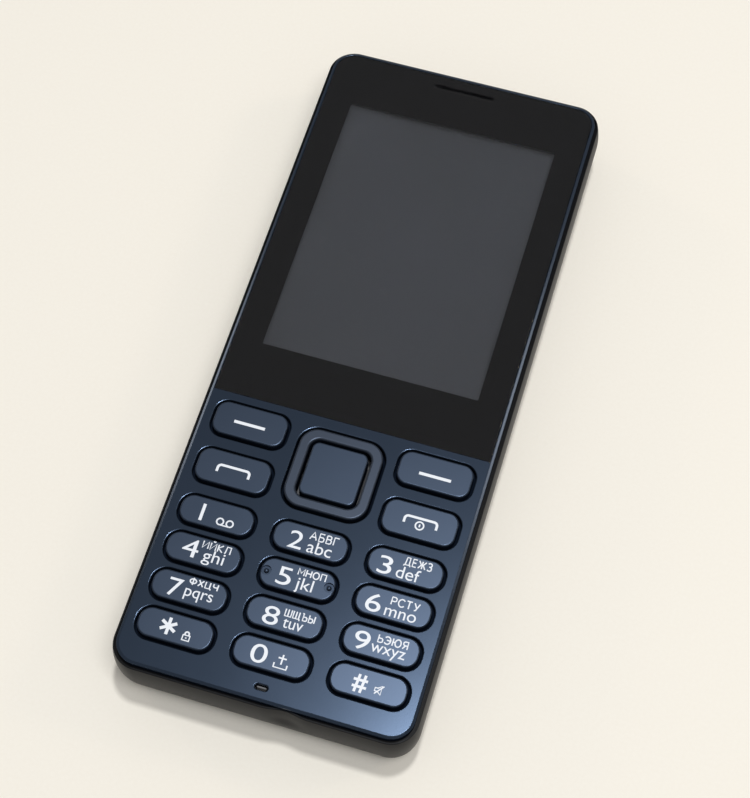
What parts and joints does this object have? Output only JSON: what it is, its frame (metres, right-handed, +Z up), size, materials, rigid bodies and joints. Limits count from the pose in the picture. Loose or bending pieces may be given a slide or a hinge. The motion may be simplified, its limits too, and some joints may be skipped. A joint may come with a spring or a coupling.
{
  "type": "mobile phone",
  "caption": "Bar-shaped keypad phone with a flush display window, sprung key caps, a four-way ring with a select key, a clip-on rear shell and a removable battery.",
  "frame": {"origin": "middle of the outer box's underside, on the flat back face that the phone lies on", "axes": "+X across the phone to the viewer's right, +Y along it towards the earpiece end, +Z up out of the screen"},
  "size_m": [0.0496, 0.1196, 0.0131],
  "materials": {
    "deck_plastic": "blue-black moulding with a fine satin gloss",
    "window_plastic": "clear hard plastic with a black printed border",
    "black_tape": "black adhesive film",
    "black_foam": "closed-cell foam",
    "screen_glass": "dark grey screen panel, unlit",
    "light_guide": "white light guide",
    "sheet_steel": "nickel-plated sheet",
    "dark_metal": "black coated metal and resin",
    "fine_mesh": "black woven mesh",
    "silicone": "grey silicone",
    "dome_steel": "spring steel domes under clear film",
    "rocker_plastic": "hard acetal",
    "ring_paint": "satin metallic blue-grey paint",
    "key_plastic": "blue-black hard plastic with a soft gloss",
    "board_laminate": "green solder mask",
    "connector_plastic": "black filled resin with brass blades",
    "led_package": "white package with a yellow phosphor",
    "clear_plastic": "clear light pipe",
    "chassis_plastic": "black filled resin, fine spark texture",
    "antenna_metal": "plated antenna track",
    "screw_steel": "dark zinc-plated steel",
    "battery_can": "aluminium can in a thin film",
    "battery_plastic": "black moulded cap with gilt pads",
    "cover_plastic": "blue-black shell with a fine satin surface",
    "trim_metal": "turned bright ring",
    "camera_glass": "dark camera window"
  },
  "bodies": {
    "phone": {"audio_jack": "connector_plastic", "battery_connector": "connector_plastic", "camera_module": "dark_metal", "card_reader": "sheet_steel", "chassis_screws": "screw_steel", "display_window": "window_plastic", "dome_sheet": "dome_steel", "earpiece_mesh": "fine_mesh", "earpiece_speaker": "dark_metal", "front_housing": "deck_plastic", "keypad_mat": "silicone", "lcd_backlight": "light_guide", "lcd_cushion": "black_foam", "lcd_frame": "sheet_steel", "lcd_panel": "screen_glass", "loudspeaker": "dark_metal", "main_antenna": "antenna_metal", "main_board": "board_laminate", "micro_usb_socket": "sheet_steel", "microphone": "sheet_steel", "microphone_boot": "silicone", "processor_shield": "sheet_steel", "radio_shield": "sheet_steel", "rear_chassis": "chassis_plastic", "sim_reader_left": "sheet_steel", "sim_reader_right": "sheet_steel", "torch_led": "led_package", "torch_light_guide": "clear_plastic", "vibration_motor": "sheet_steel", "window_tape": "black_tape"},
    "key_0": {"key_0": "key_plastic"},
    "key_1": {"key_1": "key_plastic"},
    "key_2": {"key_2": "key_plastic"},
    "key_3": {"key_3": "key_plastic"},
    "key_4": {"key_4": "key_plastic"},
    "key_5": {"key_5": "key_plastic"},
    "key_6": {"key_6": "key_plastic"},
    "key_7": {"key_7": "key_plastic"},
    "key_8": {"key_8": "key_plastic"},
    "key_9": {"key_9": "key_plastic"},
    "key_hash": {"key_hash": "key_plastic"},
    "key_star": {"key_star": "key_plastic"},
    "soft_key_left": {"soft_key_left": "key_plastic"},
    "soft_key_right": {"soft_key_right": "key_plastic"},
    "call_key": {"call_key": "key_plastic"},
    "end_key": {"end_key": "key_plastic"},
    "select_key": {"select_key": "key_plastic"},
    "nav_rocker": {"nav_rocker": "rocker_plastic"},
    "nav_ring": {"nav_ring": "ring_paint"},
    "rear_cover": {"rear_cover": "cover_plastic", "camera_ring": "trim_metal", "camera_window": "camera_glass", "speaker_mesh": "fine_mesh"},
    "battery": {"battery": "battery_can", "battery_cap": "battery_plastic"}
  },
  "joints": [
    {"name": "key_0_press", "type": "slide", "parent": "phone", "child": "key_0", "axis": [0, 0, -1], "range_m": [0, 0.0003], "stiffness_N_per_m": 4000},
    {"name": "key_1_press", "type": "slide", "parent": "phone", "child": "key_1", "axis": [0, 0, -1], "range_m": [0, 0.0003], "stiffness_N_per_m": 4000},
    {"name": "key_2_press", "type": "slide", "parent": "phone", "child": "key_2", "axis": [0, 0, -1], "range_m": [0, 0.0003], "stiffness_N_per_m": 4000},
    {"name": "key_3_press", "type": "slide", "parent": "phone", "child": "key_3", "axis": [0, 0, -1], "range_m": [0, 0.0003], "stiffness_N_per_m": 4000},
    {"name": "key_4_press", "type": "slide", "parent": "phone", "child": "key_4", "axis": [0, 0, -1], "range_m": [0, 0.0003], "stiffness_N_per_m": 4000},
    {"name": "key_5_press", "type": "slide", "parent": "phone", "child": "key_5", "axis": [0, 0, -1], "range_m": [0, 0.0003], "stiffness_N_per_m": 4000},
    {"name": "key_6_press", "type": "slide", "parent": "phone", "child": "key_6", "axis": [0, 0, -1], "range_m": [0, 0.0003], "stiffness_N_per_m": 4000},
    {"name": "key_7_press", "type": "slide", "parent": "phone", "child": "key_7", "axis": [0, 0, -1], "range_m": [0, 0.0003], "stiffness_N_per_m": 4000},
    {"name": "key_8_press", "type": "slide", "parent": "phone", "child": "key_8", "axis": [0, 0, -1], "range_m": [0, 0.0003], "stiffness_N_per_m": 4000},
    {"name": "key_9_press", "type": "slide", "parent": "phone", "child": "key_9", "axis": [0, 0, -1], "range_m": [0, 0.0003], "stiffness_N_per_m": 4000},
    {"name": "key_hash_press", "type": "slide", "parent": "phone", "child": "key_hash", "axis": [0, 0, -1], "range_m": [0, 0.0003], "stiffness_N_per_m": 4000},
    {"name": "key_star_press", "type": "slide", "parent": "phone", "child": "key_star", "axis": [0, 0, -1], "range_m": [0, 0.0003], "stiffness_N_per_m": 4000},
    {"name": "soft_key_left_press", "type": "slide", "parent": "phone", "child": "soft_key_left", "axis": [0, 0, -1], "range_m": [0, 0.0003], "stiffness_N_per_m": 4000},
    {"name": "soft_key_right_press", "type": "slide", "parent": "phone", "child": "soft_key_right", "axis": [0, 0, -1], "range_m": [0, 0.0003], "stiffness_N_per_m": 4000},
    {"name": "call_key_press", "type": "slide", "parent": "phone", "child": "call_key", "axis": [0, 0, -1], "range_m": [0, 0.0003], "stiffness_N_per_m": 4000},
    {"name": "end_key_press", "type": "slide", "parent": "phone", "child": "end_key", "axis": [0, 0, -1], "range_m": [0, 0.0003], "stiffness_N_per_m": 4000},
    {"name": "select_key_press", "type": "slide", "parent": "phone", "child": "select_key", "axis": [0, 0, -1], "range_m": [0, 0.0003], "stiffness_N_per_m": 4000},
    {"name": "ring_rock_up_down", "type": "hinge", "parent": "phone", "child": "nav_rocker", "pos_m": [0, -0.0203, 0.0097], "axis": [1, 0, 0], "range_deg": [-2, 2], "stiffness_Nm_per_rad": 0.15},
    {"name": "ring_rock_left_right", "type": "hinge", "parent": "nav_rocker", "child": "nav_ring", "pos_m": [0, -0.0203, 0.0103], "axis": [0, 1, 0], "range_deg": [-2, 2], "stiffness_Nm_per_rad": 0.15},
    {"name": "cover_off", "type": "slide", "parent": "phone", "child": "rear_cover", "axis": [0, 0, -1], "range_m": [0, 0.03]},
    {"name": "battery_out", "type": "slide", "parent": "phone", "child": "battery", "axis": [0, 0, -1], "range_m": [0, 0.015]}
  ],
  "couplings": [
    {"joint": "battery_out", "follows": "cover_off", "ratio": 0.5}
  ]
}
